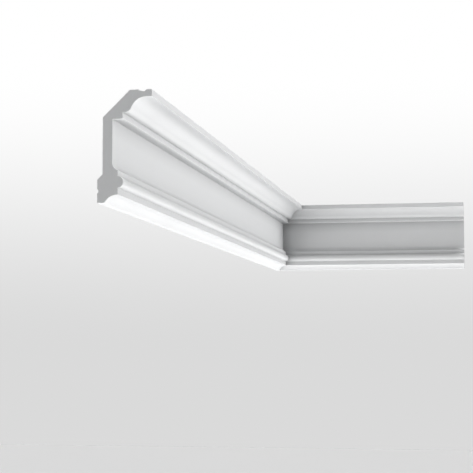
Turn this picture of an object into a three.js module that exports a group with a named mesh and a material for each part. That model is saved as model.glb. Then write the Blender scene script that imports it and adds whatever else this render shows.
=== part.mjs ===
// A cornice moulding: a long length and a short length of one profile, mitred into an inside corner.
// Millimetres, +Z up. The two back planes meet on the line x = 0, y = 0, at the bottom edge z = 0.
// The long length runs along -Y with its back to x = 0, the short one along +X with its back to y = 0.
import * as THREE from "three";

// Driving dimensions of the run
const HEIGHT = 140; // from the bottom edge to the top face
const PROJECTION = 69; // from the back plane to the cap's face
const LONG_RUN = 1440; // from the corner line to the square cut
const SHORT_RUN = 420; // from the corner line to the square cut
const MITRE_GAP = 0.3; // the glue line between the two mitred ends

// The front of the section, from the bottom edge upwards
const FOOT_WIDTH = 9.5; // flat underside, out from the back plane
const CAVETTO_RISE = 10; // hollow between the underside and the lower band
const BAND_OUT = 26.6; // face of the bands above and below the bead, out from the back plane
const BEAD_RADIUS = 7.4;
const BEAD_OUT = 33.4; // nose of the bead, out from the back plane
const BEAD_HEIGHT = 25.7; // middle of the bead, up from the bottom edge
const UPPER_BAND_TOP = 40.2;
const COVE_RADIUS = 10; // hollow that carries the band into the frieze
const FRIEZE_OUT = 19.4; // the tall flat face, out from the back plane
const SOFFIT_HEIGHT = 103.8; // flat underside over the frieze
const SOFFIT_FLAT_END = 27.5; // where that underside starts to lift, out from the back plane
const SOFFIT_LIFT = 0.9; // how far it lifts to the listel
const LISTEL_OUT = 32.3; // narrow upright face under the cyma, out from the back plane
const CYMA_FOOT_HEIGHT = 112;
const CYMA_FOOT_OUT = 34.2; // where the cyma's round leaves its foot, out from the back plane
const CYMA_TOP_OUT = 62.2; // where the cyma's hollow meets the cap's underside
const CYMA_ROUND_SHARE = 0.32; // the round's part of the cyma's two radii together
const CAP_HEIGHT = 9; // upright face along the top

// The back of the section
const TOP_STRIP = 28; // flat bearing along the top, in from the cap's face
const BACK_OUT = 6.6; // relieved back, out from the back plane
const BACK_TOP_HEIGHT = 106.7; // where the sloping back leaves the relieved back
const FOOT_STRIP = 29; // flat bearing in the back plane, up from the bottom edge
const FOOT_GROOVE_HEIGHT = 14.6; // middle of the adhesive groove in the foot strip
const FOOT_GROOVE_WIDTH = 5.2;
const FOOT_GROOVE_DEPTH = 1.5;
const TOP_GROOVE_OUTER = 62.2; // outer lip of the adhesive groove in the top strip
const TOP_GROOVE_BOTTOM = 59.4; // its deepest line
const TOP_GROOVE_INNER = 52; // its inner lip
const TOP_GROOVE_DEPTH = 2.4;
const TOP_GROOVE_SHOULDER = 1.1; // depth at the inner lip

// Angles in the section's plane, from the direction that points straight out
const UP = Math.PI / 2;
const DOWN = -Math.PI / 2;
const INWARD_FROM_BELOW = -Math.PI;

const ARC_STEPS = 12; // an arc is drawn in twice as many flats
const PRIMER_WHITE = "#f1f2f2";

// Radius of the arc that leaves a straight line smoothly and ends at this run along it and rise from it.
function tangentArcRadius(run, rise) {
  return (run * run + rise * rise) / (2 * rise);
}

// Adds an arc about a centre, the short way from one angle to the other.
function arc(outline, out, height, radius, from, to) {
  outline.absarc(out, height, radius, from, to, to < from);
}

// Underside, cavetto and lower band.
function drawFoot(outline) {
  outline.moveTo(0, 0);
  outline.lineTo(FOOT_WIDTH, 0);
  const run = BAND_OUT - FOOT_WIDTH;
  const radius = tangentArcRadius(run, CAVETTO_RISE);
  const turn = Math.asin(run / radius);
  arc(outline, BAND_OUT, CAVETTO_RISE - radius, radius, UP + turn, UP);
}

// Half-round bead between the two bands, and the cove that leads up to the frieze.
function drawBeadAndCove(outline) {
  const beadCentre = BEAD_OUT - BEAD_RADIUS;
  const beadTurn = Math.acos((BAND_OUT - beadCentre) / BEAD_RADIUS);
  arc(outline, beadCentre, BEAD_HEIGHT, BEAD_RADIUS, -beadTurn, beadTurn);
  outline.lineTo(BAND_OUT, UPPER_BAND_TOP);
  const coveCentre = FRIEZE_OUT + COVE_RADIUS;
  const coveDrop = Math.sqrt(COVE_RADIUS ** 2 - (coveCentre - BAND_OUT) ** 2);
  const coveFoot = Math.atan2(-coveDrop, BAND_OUT - coveCentre);
  arc(outline, coveCentre, UPPER_BAND_TOP + coveDrop, COVE_RADIUS, coveFoot, INWARD_FROM_BELOW);
}

// Frieze, the soffit over it with its slight lift, and the listel.
function drawFriezeAndListel(outline) {
  outline.lineTo(FRIEZE_OUT, SOFFIT_HEIGHT);
  outline.lineTo(SOFFIT_FLAT_END, SOFFIT_HEIGHT);
  const run = LISTEL_OUT - SOFFIT_FLAT_END;
  const radius = tangentArcRadius(run, SOFFIT_LIFT);
  const turn = Math.asin(run / radius);
  arc(outline, SOFFIT_FLAT_END, SOFFIT_HEIGHT + radius, radius, DOWN, DOWN + turn);
  outline.lineTo(LISTEL_OUT, CYMA_FOOT_HEIGHT);
  outline.lineTo(CYMA_FOOT_OUT, CYMA_FOOT_HEIGHT);
}

// Cyma: a round below and a hollow above, which meet smoothly and both end level.
function drawCymaAndCap(outline) {
  const capUnderside = HEIGHT - CAP_HEIGHT;
  const run = CYMA_TOP_OUT - CYMA_FOOT_OUT;
  const rise = capUnderside - CYMA_FOOT_HEIGHT;
  const turn = 2 * Math.atan(rise / run);
  const bothRadii = run / Math.sin(turn);
  const round = CYMA_ROUND_SHARE * bothRadii;
  const hollow = bothRadii - round;
  arc(outline, CYMA_FOOT_OUT, CYMA_FOOT_HEIGHT + round, round, DOWN, DOWN + turn);
  arc(outline, CYMA_TOP_OUT, capUnderside - hollow, hollow, UP + turn, UP);
  outline.lineTo(PROJECTION, capUnderside);
  outline.lineTo(PROJECTION, HEIGHT);
}

// Grooved top strip, the sloping and the relieved back, and the grooved foot strip.
function drawBack(outline) {
  outline.lineTo(TOP_GROOVE_OUTER, HEIGHT);
  outline.lineTo(TOP_GROOVE_BOTTOM, HEIGHT - TOP_GROOVE_DEPTH);
  outline.lineTo(TOP_GROOVE_INNER, HEIGHT - TOP_GROOVE_SHOULDER);
  outline.lineTo(TOP_GROOVE_INNER, HEIGHT);
  outline.lineTo(PROJECTION - TOP_STRIP, HEIGHT);
  outline.lineTo(BACK_OUT, BACK_TOP_HEIGHT);
  outline.lineTo(BACK_OUT, FOOT_STRIP + BACK_OUT);
  outline.lineTo(0, FOOT_STRIP);
  const half = FOOT_GROOVE_WIDTH / 2;
  const radius = tangentArcRadius(half, FOOT_GROOVE_DEPTH);
  const turn = Math.asin(half / radius);
  arc(outline, FOOT_GROOVE_DEPTH - radius, FOOT_GROOVE_HEIGHT, radius, turn, -turn);
  outline.lineTo(0, 0);
}

// The whole section: x is out from the back plane, y is up from the bottom edge.
function corniceSection() {
  const outline = new THREE.Shape();
  drawFoot(outline);
  drawBeadAndCove(outline);
  drawFriezeAndListel(outline);
  drawCymaAndCap(outline);
  drawBack(outline);
  return outline;
}

// A length of the moulding. Each end is a function that gives where along the run it is cut,
// for a point of the section at some distance out from the back plane.
function cutLength(section, firstEnd, secondEnd) {
  const length = new THREE.ExtrudeGeometry(section, {
    depth: 1,
    steps: 1,
    bevelEnabled: false,
    curveSegments: ARC_STEPS,
  });
  const position = length.getAttribute("position");
  for (let i = 0; i < position.count; i += 1) {
    const end = position.getZ(i) === 0 ? firstEnd : secondEnd;
    position.setZ(i, end(position.getX(i)));
  }
  length.computeVertexNormals();
  return length;
}

function primedMesh(name, geometry) {
  const primer = new THREE.MeshStandardMaterial({
    color: PRIMER_WHITE,
    roughness: 0.6,
    metalness: 0,
  });
  const mesh = new THREE.Mesh(geometry, primer);
  mesh.name = name;
  return mesh;
}

// The long length's mitre passes through the corner line, so its back reaches the corner.
function longLength(section) {
  const mitre = (out) => out;
  const squareCut = () => LONG_RUN;
  const mesh = primedMesh("cornice_long_length", cutLength(section, mitre, squareCut));
  mesh.rotation.x = Math.PI / 2;
  return mesh;
}

// The short length stands back from that mitre by the glue line, measured square to the joint.
function shortLength(section) {
  const setBack = MITRE_GAP * Math.SQRT2;
  const squareCut = () => -SHORT_RUN;
  const mitre = (out) => -out - setBack;
  const mesh = primedMesh("cornice_short_length", cutLength(section, squareCut, mitre));
  mesh.rotation.x = Math.PI / 2;
  const quarterTurn = new THREE.Group();
  quarterTurn.rotation.z = -Math.PI / 2;
  quarterTurn.add(mesh);
  return quarterTurn;
}

const section = corniceSection();
const cornice = new THREE.Group();
cornice.name = "cornice";
cornice.add(longLength(section), shortLength(section));

export default cornice;
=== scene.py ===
# %% [markdown]
# A cornice moulding fitted round an inside corner: a long length and a short length of one profile,
# mitred together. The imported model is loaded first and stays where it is. Every new piece is made
# around it, in metres, in the same frame: +Z is up, and the corner line is x = 0, y = 0.

# %% Load the measured model
import math

import bmesh
import bpy
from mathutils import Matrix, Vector


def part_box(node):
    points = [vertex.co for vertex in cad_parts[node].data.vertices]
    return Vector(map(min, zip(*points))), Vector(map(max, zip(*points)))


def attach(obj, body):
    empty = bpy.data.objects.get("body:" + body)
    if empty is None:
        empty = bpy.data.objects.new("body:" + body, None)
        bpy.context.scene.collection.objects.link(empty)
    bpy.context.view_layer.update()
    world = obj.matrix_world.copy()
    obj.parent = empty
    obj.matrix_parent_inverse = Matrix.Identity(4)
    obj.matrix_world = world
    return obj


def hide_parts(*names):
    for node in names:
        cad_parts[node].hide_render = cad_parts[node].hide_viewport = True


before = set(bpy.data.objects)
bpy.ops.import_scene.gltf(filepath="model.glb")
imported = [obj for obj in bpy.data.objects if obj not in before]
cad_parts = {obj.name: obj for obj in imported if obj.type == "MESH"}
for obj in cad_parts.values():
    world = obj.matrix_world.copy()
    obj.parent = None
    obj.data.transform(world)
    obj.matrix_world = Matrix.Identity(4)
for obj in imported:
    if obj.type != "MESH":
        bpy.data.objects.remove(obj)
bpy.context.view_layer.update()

print("nodes:", sorted(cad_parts))

# %% [markdown]
# The camera stands 1.6 m in front of the sawn end and 3.1 m from the corner, 0.4 m to the right of
# the cap and 0.2 m below the moulding's bottom edge, and looks slightly up. Its place, its two
# angles and its lens were fitted together to edges that were measured in the photograph, with no
# roll and no shift. The lens is the least certain of them: a wider lens from nearer by, with a
# somewhat shorter long run, fits as well or better.

# %% Camera
FRAME_SIDE_PIXELS = 473
FOCAL_LENGTH_PIXELS = 1372
SENSOR_WIDTH_MM = 36
CAMERA_PLACE = Vector((0.4749, -3.0612, -0.1823))
CAMERA_AZIMUTH = math.radians(10.484)
CAMERA_ELEVATION = math.radians(-4.794)
CAMERA_SEES_TO = 200  # past the far edge of the floor


def deselect_everything():
    bpy.ops.object.select_all(action="DESELECT")


def take_up(piece):
    """Selects one piece alone and makes it the active one."""
    deselect_everything()
    piece.select_set(True)
    bpy.context.view_layer.objects.active = piece


def direction_back(azimuth, elevation):
    """The way back to a camera or lamp at these angles. One at azimuth 0 looks along +Y."""
    level = math.cos(elevation)
    return Vector((math.sin(azimuth) * level, -math.cos(azimuth) * level, math.sin(elevation)))


deselect_everything()
bpy.ops.object.camera_add(location=CAMERA_PLACE)
camera = bpy.context.object
camera.name = "camera"
look = -direction_back(CAMERA_AZIMUTH, CAMERA_ELEVATION)
camera.rotation_euler = look.to_track_quat("-Z", "Y").to_euler()
camera.data.sensor_width = SENSOR_WIDTH_MM
camera.data.lens = SENSOR_WIDTH_MM * FOCAL_LENGTH_PIXELS / FRAME_SIDE_PIXELS
camera.data.clip_end = CAMERA_SEES_TO
bpy.context.scene.camera = camera
print("lens:", round(camera.data.lens, 2), "mm")

# %% [markdown]
# The moulding comes from the mould as a straight bar with one section all along, and the two
# lengths are sawn from such bars. So one bar is modelled, and both lengths are cut from copies.
# The section could be a curve with a bevel depth, or an outline that is filled and extruded. Here
# the skin is pulled round instead: a plane is the flat underside of the foot, and its front edge is
# extruded along the straight parts of the section and spun along its hollows and rounds. Each step
# is then one short line that reads like the section itself.

# %% Start of the bar: the flat underside of the foot
BAR_LENGTH = 2.0
BAR_WASTE = 0.07  # how far the uncut bar runs past the corner line
FOOT_WIDTH = 0.0095
ARC_STEP = 0.0009  # length of one flat along a round or a hollow


def start_bar():
    """A plane as wide as the foot and as long as the bar, with its front edge selected."""
    deselect_everything()
    middle = (FOOT_WIDTH / 2, BAR_WASTE - BAR_LENGTH / 2, 0)
    bpy.ops.mesh.primitive_plane_add(size=1, location=middle)
    started = bpy.context.object
    started.name = "bar"
    started.scale = (FOOT_WIDTH, BAR_LENGTH, 1)
    bpy.ops.object.transform_apply(location=True, rotation=True, scale=True)
    bpy.ops.object.mode_set(mode="EDIT")
    bpy.ops.mesh.select_mode(type="EDGE")
    bpy.ops.mesh.select_all(action="DESELECT")
    mesh = bmesh.from_edit_mesh(started.data)
    for edge in mesh.edges:
        edge.select_set(all(vertex.co.x > FOOT_WIDTH / 2 for vertex in edge.verts))
    bmesh.update_edit_mesh(started.data)
    return started


def edge_place():
    """Where the selected edge stands in the section."""
    mesh = bmesh.from_edit_mesh(bar.data)
    return next(vertex.co.copy() for vertex in mesh.verts if vertex.select)


def straight_to(out, height):
    """Extrudes the selected edge to a new place in the section."""
    here = edge_place()
    move = {"value": (out - here.x, 0, height - here.z)}
    bpy.ops.mesh.extrude_region_move(TRANSFORM_OT_translate=move)


def round_about(out, height, turn):
    """Spins the selected edge. Seen from the sawn end, a positive turn is anticlockwise."""
    here = edge_place()
    radius = math.hypot(here.x - out, here.z - height)
    steps = round(radius * abs(turn) / ARC_STEP)
    bpy.ops.mesh.spin(steps=steps, angle=turn, center=(out, 0, height), axis=(0, 1, 0))


def leaving_arc(run, rise):
    """Radius and turn of the arc that leaves a straight line smoothly, by its run and rise."""
    radius = (run * run + rise * rise) / (2 * rise)
    return radius, math.asin(run / radius)


bar = start_bar()
print("bar starts at", [round(v, 4) for v in edge_place()])

# %% [markdown]
# The foot of the moulding is a cavetto, a hollow that swings out from the underside and ends level
# under the lower band. The bead is a little less than half a circle, set between two flat bands of
# the same depth, and a small cove carries the upper band back to the frieze.

# %% Cavetto, bands, bead and cove
CAVETTO_RISE = 0.010
BAND_OUT = 0.0266
BEAD_RADIUS = 0.0074
BEAD_OUT = 0.0334
BEAD_HEIGHT = 0.0257
UPPER_BAND_TOP = 0.0402
COVE_RADIUS = 0.010
FRIEZE_OUT = 0.0194

cavetto_radius, cavetto_turn = leaving_arc(BAND_OUT - FOOT_WIDTH, CAVETTO_RISE)
round_about(BAND_OUT, CAVETTO_RISE - cavetto_radius, -cavetto_turn)

bead_centre = BEAD_OUT - BEAD_RADIUS
bead_turn = math.acos((BAND_OUT - bead_centre) / BEAD_RADIUS)
straight_to(BAND_OUT, BEAD_HEIGHT - BEAD_RADIUS * math.sin(bead_turn))
round_about(bead_centre, BEAD_HEIGHT, 2 * bead_turn)
straight_to(BAND_OUT, UPPER_BAND_TOP)

cove_centre = FRIEZE_OUT + COVE_RADIUS
cove_turn = math.acos((cove_centre - BAND_OUT) / COVE_RADIUS)
cove_height = UPPER_BAND_TOP + COVE_RADIUS * math.sin(cove_turn)
round_about(cove_centre, cove_height, -cove_turn)
print("cove ends at", [round(v, 4) for v in edge_place()])

# %% [markdown]
# Above the tall flat frieze the section steps out again: a flat soffit that lifts a little at its
# front, the narrow upright listel, and then the cyma, a round below and a hollow above that flow
# into each other. The cap is the plain upright face at the top. Both arcs of the cyma turn by the
# same angle, which makes them meet smoothly and end level.

# %% Frieze, soffit, listel, cyma and cap
SOFFIT_HEIGHT = 0.1038
SOFFIT_FLAT_END = 0.0275
SOFFIT_LIFT = 0.0009
LISTEL_OUT = 0.0323
CYMA_FOOT_HEIGHT = 0.112
CYMA_FOOT_OUT = 0.0342
CYMA_TOP_OUT = 0.0622
CYMA_ROUND_SHARE = 0.32
CAP_HEIGHT = 0.009
cap_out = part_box("cornice_long_length")[1].x
top_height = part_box("cornice_long_length")[1].z
cap_underside = top_height - CAP_HEIGHT

straight_to(FRIEZE_OUT, SOFFIT_HEIGHT)
straight_to(SOFFIT_FLAT_END, SOFFIT_HEIGHT)
lift_radius, lift_turn = leaving_arc(LISTEL_OUT - SOFFIT_FLAT_END, SOFFIT_LIFT)
round_about(SOFFIT_FLAT_END, SOFFIT_HEIGHT + lift_radius, lift_turn)
straight_to(LISTEL_OUT, CYMA_FOOT_HEIGHT)
straight_to(CYMA_FOOT_OUT, CYMA_FOOT_HEIGHT)

cyma_run = CYMA_TOP_OUT - CYMA_FOOT_OUT
cyma_turn = 2 * math.atan((cap_underside - CYMA_FOOT_HEIGHT) / cyma_run)
both_radii = cyma_run / math.sin(cyma_turn)
round_radius = CYMA_ROUND_SHARE * both_radii
hollow_radius = both_radii - round_radius
round_about(CYMA_FOOT_OUT, CYMA_FOOT_HEIGHT + round_radius, cyma_turn)
round_about(CYMA_TOP_OUT, cap_underside - hollow_radius, -cyma_turn)
straight_to(cap_out, cap_underside)
straight_to(cap_out, top_height)
print("cap ends at", [round(v, 4) for v in edge_place()])

# %% [markdown]
# The back is plainer. A flat strip along the top and another at the foot are what the glue holds
# by, each with a groove that takes what is squeezed out. Between them the back slopes away and is
# hollowed, which saves foam. The last straight comes back to the plane that the bar started from,
# and merging the doubles there closes the skin.

# %% Back of the bar
TOP_GROOVE_OUTER = 0.0622
TOP_GROOVE_BOTTOM = 0.0594
TOP_GROOVE_INNER = 0.052
TOP_GROOVE_DEPTH = 0.0024
TOP_GROOVE_SHOULDER = 0.0011
TOP_STRIP = 0.028
BACK_OUT = 0.0066
BACK_TOP_HEIGHT = 0.1067
FOOT_STRIP = 0.029
FOOT_GROOVE_HEIGHT = 0.0146
FOOT_GROOVE_WIDTH = 0.0052
FOOT_GROOVE_DEPTH = 0.0015
MERGE_DISTANCE = 0.00001

straight_to(TOP_GROOVE_OUTER, top_height)
straight_to(TOP_GROOVE_BOTTOM, top_height - TOP_GROOVE_DEPTH)
straight_to(TOP_GROOVE_INNER, top_height - TOP_GROOVE_SHOULDER)
straight_to(TOP_GROOVE_INNER, top_height)
straight_to(cap_out - TOP_STRIP, top_height)
straight_to(BACK_OUT, BACK_TOP_HEIGHT)
straight_to(BACK_OUT, FOOT_STRIP + BACK_OUT)
straight_to(0, FOOT_STRIP)
straight_to(0, FOOT_GROOVE_HEIGHT + FOOT_GROOVE_WIDTH / 2)
groove_radius, groove_turn = leaving_arc(FOOT_GROOVE_WIDTH / 2, FOOT_GROOVE_DEPTH)
round_about(FOOT_GROOVE_DEPTH - groove_radius, FOOT_GROOVE_HEIGHT, -2 * groove_turn)
straight_to(0, 0)

bpy.ops.mesh.select_all(action="SELECT")
bpy.ops.mesh.remove_doubles(threshold=MERGE_DISTANCE)
bpy.ops.mesh.normals_make_consistent(inside=False)
print("bar has", len(bmesh.from_edit_mesh(bar.data).faces), "long faces")

# %% [markdown]
# No edge that comes out of a mould is razor sharp. The outer arrises are slightly worn round, and
# the primer pools a little in the inner corners. Both are bevels of less than half a millimetre.
# They are made before the ends are sawn, so that the saw cuts through them as it does on the real
# bar. A bevel modifier left on the sawn lengths would round the cut edges too, and would give every
# edge one width. So the operator is used, on edges picked by how sharply their two faces meet.

# %% Soften the moulded arrises and inner corners
ARRIS_ROUND = 0.0004
INNER_ROUND = 0.00015
SHARP_ANGLE = math.radians(25)
ROUND_SEGMENTS = 3


def soften(outer, width):
    """Bevels every sharp long edge of the bar, outer arrises or inner corners."""
    bpy.ops.mesh.select_all(action="DESELECT")
    mesh = bmesh.from_edit_mesh(bar.data)
    chosen = 0
    for edge in mesh.edges:
        if not edge.is_manifold:
            continue
        angle = edge.calc_face_angle_signed()
        if (angle if outer else -angle) > SHARP_ANGLE:
            edge.select_set(True)
            chosen += 1
    bmesh.update_edit_mesh(bar.data)
    bpy.ops.mesh.bevel(offset=width, offset_type="OFFSET", segments=ROUND_SEGMENTS, affect="EDGES")
    return chosen


print("outer arrises softened:", soften(True, ARRIS_ROUND))
print("inner corners softened:", soften(False, INNER_ROUND))
bpy.ops.object.mode_set(mode="OBJECT")

# %% [markdown]
# The lengths are sawn as a joiner saws them: a square cut at the free end and a mitre at the
# corner. Bisect is the saw. It cuts the skin on a plane, drops the waste on one side and closes
# the cut with a flat face, so the sawn section shows every hollow and groove.

# %% Sawing
MITRE_NORMAL = (1, 1, 0)


def saw(piece, place, normal, waste_in_front):
    """Cuts a piece on a plane and closes the cut. The waste lies before or behind the plane."""
    take_up(piece)
    bpy.ops.object.mode_set(mode="EDIT")
    bpy.ops.mesh.select_all(action="SELECT")
    bpy.ops.mesh.bisect(
        plane_co=place,
        plane_no=normal,
        use_fill=True,
        clear_outer=waste_in_front,
        clear_inner=not waste_in_front,
    )
    bpy.ops.mesh.select_all(action="SELECT")
    bpy.ops.mesh.normals_make_consistent(inside=False)
    bpy.ops.object.mode_set(mode="OBJECT")


def copy_of_bar(name):
    take_up(bar)
    bpy.ops.object.duplicate(linked=False)
    copied = bpy.context.object
    copied.name = name
    copied.data.name = name
    return copied


# %% The long length
long_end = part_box("cornice_long_length")[0].y
long_length = copy_of_bar("long_length")
saw(long_length, (0, long_end, 0), (0, 1, 0), waste_in_front=False)
saw(long_length, (0, 0, 0), MITRE_NORMAL, waste_in_front=True)
print("long length:", len(long_length.data.polygons), "faces")

# %% [markdown]
# The short length is the same bar turned a quarter round the corner line, and then slid along until
# its waste runs past that line as the long length's did. With no window open, the rotate operator
# turns the other way from its usual sense and takes its centre from center_override, so the turn is
# checked by printing the box, where y has to run from minus the projection to 0. The mitre stands
# back from the long length's by the thickness of the glue line.

# %% The short length
LOW_CORNER, HIGH_CORNER = 0, 6  # which of a bounding box's eight corners they are

short_low, short_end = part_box("cornice_short_length")
short_length = copy_of_bar("short_length")
bpy.ops.transform.rotate(value=math.pi / 2, orient_axis="Z", center_override=(0, 0, 0))
bpy.ops.transform.translate(value=(BAR_LENGTH - 2 * BAR_WASTE, 0, 0))
bpy.ops.object.transform_apply(location=True, rotation=True, scale=True)
print("turned bar lies from", [round(v, 3) for v in short_length.bound_box[LOW_CORNER]])
print("to", [round(v, 3) for v in short_length.bound_box[HIGH_CORNER]])
saw(short_length, (short_end.x, 0, 0), (1, 0, 0), waste_in_front=True)
saw(short_length, (short_low.x, 0, 0), MITRE_NORMAL, waste_in_front=False)
print("short length:", len(short_length.data.polygons), "faces")

take_up(bar)
bpy.ops.object.delete()

# %% [markdown]
# A moulded bar isn't the same all through: against the mould the foam packs into a dense pale skin,
# and the saw shows it as a thin light rim round the grey core. Inset parts that rim from the face
# of each square cut. At the tiny rounds of the arrises the inset runs past the round's own centre,
# so the new corners that come to lie together there are merged.

# %% The skin's rim on the square cuts
SKIN_THICKNESS = 0.0006
SKIN_MERGE = 0.0002
SQUARE_TO_RUN = 0.99


def part_the_rim(piece, run):
    """Insets the square-cut face of a length by the thickness of the skin."""
    take_up(piece)
    bpy.ops.object.mode_set(mode="EDIT")
    bpy.ops.mesh.select_mode(type="FACE")
    bpy.ops.mesh.select_all(action="DESELECT")
    mesh = bmesh.from_edit_mesh(piece.data)
    for face in mesh.faces:
        face.select_set(abs(face.normal.dot(run)) > SQUARE_TO_RUN)
    bmesh.update_edit_mesh(piece.data)
    bpy.ops.mesh.inset(thickness=SKIN_THICKNESS)
    bpy.ops.mesh.remove_doubles(threshold=SKIN_MERGE)
    bpy.ops.object.mode_set(mode="OBJECT")


long_run = Vector((0, 1, 0))
short_run = Vector((1, 0, 0))
part_the_rim(long_length, long_run)
part_the_rim(short_length, short_run)
print("with rims:", len(long_length.data.polygons), "and", len(short_length.data.polygons), "faces")

# %% [markdown]
# The rounds and hollows are many narrow flats, so they are shaded smooth, and an edge stays sharp
# where its faces meet at a real corner. Weighted normals let each wide flat keep its own direction
# right up to the tiny rounds beside it. Without them the frieze would look pillowed.

# %% Smooth shading that keeps the flats flat
KEEP_SHARP_ANGLE = math.radians(40)


def shade(piece):
    take_up(piece)
    bpy.ops.object.shade_smooth_by_angle(angle=KEEP_SHARP_ANGLE)
    bpy.ops.object.modifier_add(type="WEIGHTED_NORMAL")
    weighting = piece.modifiers[-1]
    weighting.keep_sharp = True
    bpy.ops.object.modifier_apply(modifier=weighting.name)


def open_edges(piece):
    """How many edges don't join exactly two faces. A closed solid has none."""
    mesh = bmesh.new()
    mesh.from_mesh(piece.data)
    count = sum(not edge.is_manifold for edge in mesh.edges)
    mesh.free()
    return count


for piece in (long_length, short_length):
    shade(piece)
    print(piece.name, "shaded,", open_edges(piece), "open edges")

# %% [markdown]
# All the finishes are mixed from the same few parts: noise for clouds, peel and grain, a range that
# spreads the noise over real values, a pair of tones, and a bump. An image could carry them, but
# noise on the object's own coordinates has no seams and keeps its real scale on both lengths. Every
# feature size and bump distance below is a real length, in metres.

# %% Helpers for the finishes
NOISE_MIDDLE = (0.3, 0.7)  # where most values of a noise lie
CREASE_REACH = 0.022  # how far round a place its neighbours count
CREASE_SAMPLES = 16
CORNER_OPENNESS = 0.5  # what the occlusion node gives in a square inner corner


def new_finish(name):
    """A new node material. Returns it, its nodes, its links and its shader."""
    finish = bpy.data.materials.new(name)
    finish.use_nodes = True
    nodes = finish.node_tree.nodes
    return finish, nodes, finish.node_tree.links, nodes["Principled BSDF"]


def add_place(nodes, links, stretch=(1, 1, 1)):
    """Where a point lies on the piece, squeezed along the axes where a pattern runs long."""
    place = nodes.new("ShaderNodeTexCoord")
    mapping = nodes.new("ShaderNodeMapping")
    mapping.inputs["Scale"].default_value = stretch
    links.new(place.outputs["Object"], mapping.inputs["Vector"])
    return mapping.outputs["Vector"]


def add_noise(nodes, links, place, feature_size, detail):
    """Noise whose features are about this size."""
    noise = nodes.new("ShaderNodeTexNoise")
    noise.inputs["Scale"].default_value = 1 / feature_size
    noise.inputs["Detail"].default_value = detail
    links.new(place, noise.inputs["Vector"])
    return noise.outputs["Fac"]


def add_range(nodes, links, value, low, high):
    """Spreads the middle of a noise over a range."""
    spread = nodes.new("ShaderNodeMapRange")
    spread.inputs["From Min"].default_value = NOISE_MIDDLE[0]
    spread.inputs["From Max"].default_value = NOISE_MIDDLE[1]
    spread.inputs["To Min"].default_value = low
    spread.inputs["To Max"].default_value = high
    links.new(value, spread.inputs["Value"])
    return spread.outputs["Result"]


def add_two_tones(nodes, links, factor, first, second):
    """A colour between two tones."""
    tones = nodes.new("ShaderNodeMix")
    tones.data_type = "RGBA"
    tones.inputs["A"].default_value = (*first, 1)
    tones.inputs["B"].default_value = (*second, 1)
    links.new(factor, tones.inputs["Factor"])
    return tones.outputs["Result"]


def add_closeness(nodes, links, open_side, closed_side):
    """A value that goes from one end to the other where the surface is closed in by its neighbours."""
    closeness = nodes.new("ShaderNodeAmbientOcclusion")
    closeness.samples = CREASE_SAMPLES
    closeness.inputs["Distance"].default_value = CREASE_REACH
    spread = nodes.new("ShaderNodeMapRange")
    spread.inputs["From Min"].default_value = CORNER_OPENNESS
    spread.inputs["From Max"].default_value = 1
    spread.inputs["To Min"].default_value = closed_side
    spread.inputs["To Max"].default_value = open_side
    links.new(closeness.outputs["AO"], spread.inputs["Value"])
    return spread.outputs["Result"]


def add_bump(nodes, links, height, distance, strength, coarser_bump=None):
    """A bump from a height. It can lie on top of another bump."""
    bump = nodes.new("ShaderNodeBump")
    bump.inputs["Distance"].default_value = distance
    bump.inputs["Strength"].default_value = strength
    links.new(height, bump.inputs["Height"])
    if coarser_bump:
        links.new(coarser_bump, bump.inputs["Normal"])
    return bump.outputs["Normal"]


# %% [markdown]
# The front leaves the factory with a smooth white primer, neither flat matt nor gloss: seen along
# the run it mirrors the bright studio a little, and seen square it doesn't. It is sprayed so evenly
# that only a very fine orange peel shows, with the least difference in tone and gloss from place to
# place. The tones are a little cool, and well under pure white, as white paint is. The recesses are
# tinted darker by an occlusion node that reaches about two centimetres. That is shade and not a
# finish of the real moulding: the lamps alone left the hollows too light beside the photograph, and
# this makes up for it. It stays in the colour when the lamps change, so it is kept in one place.

# %% White primer
PRIMER_TONES = ((0.770, 0.776, 0.782), (0.794, 0.800, 0.804))
CREASE_TONE = (0.57, 0.575, 0.58)
PRIMER_ROUGHNESS = (0.44, 0.52)
CLOUD_SIZE = 0.09
PEEL_SIZE = 0.0016
PEEL_HEIGHT = 0.00002
PEEL_STRENGTH = 0.5


def make_primer():
    finish, nodes, links, shader = new_finish("white_primer")
    place = add_place(nodes, links)
    cloud = add_noise(nodes, links, place, CLOUD_SIZE, 2)
    peel = add_noise(nodes, links, place, PEEL_SIZE, 2)
    creased = nodes.new("ShaderNodeMix")
    creased.data_type = "RGBA"
    creased.inputs["B"].default_value = (*CREASE_TONE, 1)
    links.new(add_closeness(nodes, links, 0, 1), creased.inputs["Factor"])
    links.new(add_two_tones(nodes, links, cloud, *PRIMER_TONES), creased.inputs["A"])
    links.new(creased.outputs["Result"], shader.inputs["Base Color"])
    links.new(add_range(nodes, links, cloud, *PRIMER_ROUGHNESS), shader.inputs["Roughness"])
    links.new(add_bump(nodes, links, peel, PEEL_HEIGHT, PEEL_STRENGTH), shader.inputs["Normal"])
    return finish


white_primer = make_primer()
print("made", white_primer.name)

# %% [markdown]
# Nobody sees the back once the moulding is fixed, so it gets one thin coat: duller, a shade darker
# where the foam drinks it in, and with the coarser grain of the back of the mould, which also gives
# the glue a hold.

# %% Thin primer of the back
THIN_TONES = ((0.68, 0.685, 0.69), (0.745, 0.75, 0.753))
THIN_ROUGHNESS = (0.7, 0.85)
THIN_GLOSS = 0.35
SOAK_SIZE = 0.02
GRAIN_SIZE = 0.003
GRAIN_HEIGHT = 0.00012
GRAIN_STRENGTH = 0.6


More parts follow.
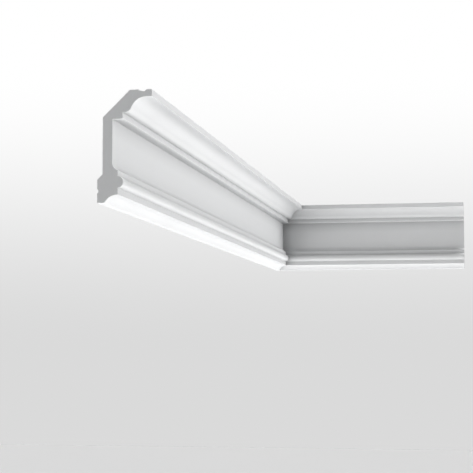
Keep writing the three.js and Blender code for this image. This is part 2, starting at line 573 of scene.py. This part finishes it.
def make_thin_primer():
    finish, nodes, links, shader = new_finish("thin_primer")
    place = add_place(nodes, links)
    soak = add_noise(nodes, links, place, SOAK_SIZE, 4)
    grain = add_noise(nodes, links, place, GRAIN_SIZE, 3)
    links.new(add_two_tones(nodes, links, soak, *THIN_TONES), shader.inputs["Base Color"])
    links.new(add_range(nodes, links, soak, *THIN_ROUGHNESS), shader.inputs["Roughness"])
    links.new(add_bump(nodes, links, grain, GRAIN_HEIGHT, GRAIN_STRENGTH), shader.inputs["Normal"])
    shader.inputs["Specular IOR Level"].default_value = THIN_GLOSS
    return finish


thin_primer = make_thin_primer()
print("made", thin_primer.name)

# %% [markdown]
# A saw cut shows the foam itself: a plain light grey with closed cells about half a millimetre
# wide, and the faint upright scratches of the saw's teeth. The cells are a Voronoi pattern. The
# scratches are noise whose place is squeezed along the height, so that it runs long that way. The
# dense skin round it has no cells that the eye can see, and is as pale as the primer.

# %% Sawn foam and its skin
FOAM_TONES = ((0.57, 0.576, 0.582), (0.613, 0.619, 0.625))
SKIN_TONES = ((0.76, 0.765, 0.768), (0.80, 0.805, 0.808))
FOAM_ROUGHNESS = (0.82, 0.92)
SKIN_ROUGHNESS = (0.7, 0.8)
FOAM_GLOSS = 0.2
CELL_SIZE = 0.0005
CELL_HEIGHT = 0.00005
CELL_STRENGTH = 0.6
SCRATCH_WIDTH = 0.0007
SCRATCH_HEIGHT = 0.00003
FOAM_SCRATCH_STRENGTH = 0.6
SKIN_SCRATCH_STRENGTH = 0.4
UPRIGHT_SCRATCHES = (1, 1, 0.03)


def make_sawn_foam():
    finish, nodes, links, shader = new_finish("sawn_foam")
    cells = nodes.new("ShaderNodeTexVoronoi")
    cells.inputs["Scale"].default_value = 1 / CELL_SIZE
    links.new(add_place(nodes, links), cells.inputs["Vector"])
    upright = add_place(nodes, links, UPRIGHT_SCRATCHES)
    scratches = add_noise(nodes, links, upright, SCRATCH_WIDTH, 2)
    links.new(add_two_tones(nodes, links, scratches, *FOAM_TONES), shader.inputs["Base Color"])
    links.new(add_range(nodes, links, scratches, *FOAM_ROUGHNESS), shader.inputs["Roughness"])
    scored = add_bump(nodes, links, scratches, SCRATCH_HEIGHT, FOAM_SCRATCH_STRENGTH)
    pitted = add_bump(nodes, links, cells.outputs["Distance"], CELL_HEIGHT, CELL_STRENGTH, scored)
    links.new(pitted, shader.inputs["Normal"])
    shader.inputs["Specular IOR Level"].default_value = FOAM_GLOSS
    return finish


def make_sawn_skin():
    finish, nodes, links, shader = new_finish("sawn_skin")
    upright = add_place(nodes, links, UPRIGHT_SCRATCHES)
    scratches = add_noise(nodes, links, upright, SCRATCH_WIDTH, 2)
    links.new(add_two_tones(nodes, links, scratches, *SKIN_TONES), shader.inputs["Base Color"])
    links.new(add_range(nodes, links, scratches, *SKIN_ROUGHNESS), shader.inputs["Roughness"])
    scored = add_bump(nodes, links, scratches, SCRATCH_HEIGHT, SKIN_SCRATCH_STRENGTH)
    links.new(scored, shader.inputs["Normal"])
    return finish


sawn_foam = make_sawn_foam()
sawn_skin = make_sawn_skin()
print("made", sawn_foam.name, "and", sawn_skin.name)

# %% [markdown]
# One bar carries four finishes, and each face gets its own by how it lies. What looks along the run
# is a saw cut, and there the core is the one face with many corners. What looks back, or lies in
# the top strip with its groove, is the hidden side. All the rest is the front.

# %% Who wears what
FINISHES = (white_primer, thin_primer, sawn_foam, sawn_skin)
FRONT, BACK, CORE, SKIN = range(len(FINISHES))
SAWN_ALONG_RUN = 0.6  # a mitre's face looks 0.71 along the run
LOOKS_BACK = -0.3
TOP_STRIP_REACH = 0.003  # how far down from the top the top strip and its groove lie
RIM_FACE_CORNERS = 4


def finish_of(face, run, outward):
    if abs(face.normal.dot(run)) > SAWN_ALONG_RUN:
        return SKIN if len(face.vertices) <= RIM_FACE_CORNERS else CORE
    in_top_strip = face.center.z > top_height - TOP_STRIP_REACH
    behind_cap = face.center.dot(outward) < cap_out - ARRIS_ROUND
    if face.normal.dot(outward) < LOOKS_BACK or (in_top_strip and behind_cap):
        return BACK
    return FRONT


def dress(piece, run, outward):
    piece.data.materials.clear()
    for finish in FINISHES:
        piece.data.materials.append(finish)
    for face in piece.data.polygons:
        face.material_index = finish_of(face, run, outward)
    worn = [face.material_index for face in piece.data.polygons]
    print(piece.name, "faces by finish:", [worn.count(index) for index in range(len(FINISHES))])


dress(long_length, long_run, Vector((1, 0, 0)))
dress(short_length, short_run, Vector((0, -1, 0)))

# %% [markdown]
# The floor is a wide pale plane far below, so that a view from under the moulding isn't blocked. It
# takes no part in the diffuse light, because a pale floor would wash out the shade under the
# mouldings. The low lamps give that light instead, and so that they can, the floor casts no
# shadow. It has no gloss, which would show a bright streak where the floor meets the backdrop.

# %% Floor
FLOOR_HEIGHT = -6
FLOOR_SIDE = 160
FLOOR_TONE = 0.74
FLOOR_ROUGHNESS = 0.9

deselect_everything()
bpy.ops.mesh.primitive_plane_add(size=FLOOR_SIDE, location=(0, 0, FLOOR_HEIGHT))
floor = bpy.context.object
floor.name = "floor"
floor.visible_diffuse = False
floor.visible_shadow = False
floor_paint, _, _, floor_shader = new_finish("floor_paint")
floor_shader.inputs["Base Color"].default_value = (FLOOR_TONE, FLOOR_TONE, FLOOR_TONE, 1)
floor_shader.inputs["Roughness"].default_value = FLOOR_ROUGHNESS
floor_shader.inputs["Specular IOR Level"].default_value = 0
floor.data.materials.append(floor_paint)
print("floor at", FLOOR_HEIGHT, "m")

# %% [markdown]
# A white moulding shows its shape by shade alone, so the lamps do the drawing. Six wide suns make
# the plain soft light, and being far away they light both ends of a long run alike. The key comes
# from the right, a few degrees below level, and makes the long run the brighter one. The rake comes
# from beyond the far end, on the right and 25 degrees below level, and grazes the hollows. A very
# wide lamp low on the left lights both the undersides and the short run, one low in front lights
# the sawn end, and two from above keep the upward faces from going dark. The strengths were found
# by changing one lamp at a time and fitting the tone of each band of the section to the photograph.
# Area lamps would have to be huge to be as even.

# %% Lamps
LAMP_DISTANCE = 5  # a sun lights the same from any distance


def add_sun(name, azimuth, elevation, spread, strength):
    """A sun that shines from these angles, in degrees, and looks as wide as its spread."""
    deselect_everything()
    way_back = direction_back(math.radians(azimuth), math.radians(elevation))
    bpy.ops.object.light_add(type="SUN", location=way_back * LAMP_DISTANCE)
    lamp = bpy.context.object
    lamp.name = name
    lamp.rotation_euler = way_back.to_track_quat("Z", "Y").to_euler()
    lamp.data.angle = math.radians(spread)
    lamp.data.energy = strength
    print(name, "from azimuth", azimuth, "elevation", elevation)


add_sun("key", azimuth=90, elevation=-6, spread=30, strength=1.93)
add_sun("rake", azimuth=150, elevation=-25, spread=40, strength=1.28)
add_sun("low_fill", azimuth=-90, elevation=-45, spread=120, strength=4.2)
add_sun("front_fill", azimuth=-30, elevation=-25, spread=120, strength=0.91)
add_sun("high_fill", azimuth=0, elevation=60, spread=60, strength=0.5)
add_sun("from_above", azimuth=45, elevation=85, spread=30, strength=2.55)

# %% [markdown]
# Round all this hangs a pale backdrop, light grey low down and white higher up, like a sweep of
# paper that is lit from above. The grey lets the white hollow at the moulding's foot stand out. The
# camera and the primer's faint gloss see the backdrop, and the diffuse light leaves it out, as with
# the floor. A gamma a little under one deepens the shade, and the plain view transform is taken
# because Blender's usual one would turn the whites grey.

# %% Backdrop and the way tones are shown
SHOWN_GAMMA = 0.85
LOW_TONE = 0.74
SWEEP_STARTS = 0.0  # height of a unit direction where the backdrop starts to whiten
SWEEP_ENDS = 0.2

world = bpy.data.worlds.new("studio")
bpy.context.scene.world = world
world.use_nodes = True
world_nodes, world_links = world.node_tree.nodes, world.node_tree.links
direction = world_nodes.new("ShaderNodeTexCoord")
upward = world_nodes.new("ShaderNodeSeparateXYZ")
rise = world_nodes.new("ShaderNodeMapRange")
rise.interpolation_type = "SMOOTHSTEP"
rise.inputs["From Min"].default_value = SWEEP_STARTS
rise.inputs["From Max"].default_value = SWEEP_ENDS
rise.inputs["To Min"].default_value = LOW_TONE
rise.inputs["To Max"].default_value = 1
world_links.new(direction.outputs["Generated"], upward.inputs["Vector"])
world_links.new(upward.outputs["Z"], rise.inputs["Value"])
world_links.new(rise.outputs["Result"], world_nodes["Background"].inputs["Color"])
world.cycles_visibility.diffuse = False
bpy.context.scene.view_settings.view_transform = "Standard"
bpy.context.scene.view_settings.gamma = SHOWN_GAMMA
print("view transform:", bpy.context.scene.view_settings.view_transform)

# %% [markdown]
# Both lengths are fixed in place, so both ride on the one body that never moves. Each stands for the
# measured bar of its name, and that bar is hidden.

# %% Finish
for piece, node in ((long_length, "cornice_long_length"), (short_length, "cornice_short_length")):
    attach(piece, "root")
    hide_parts(node)
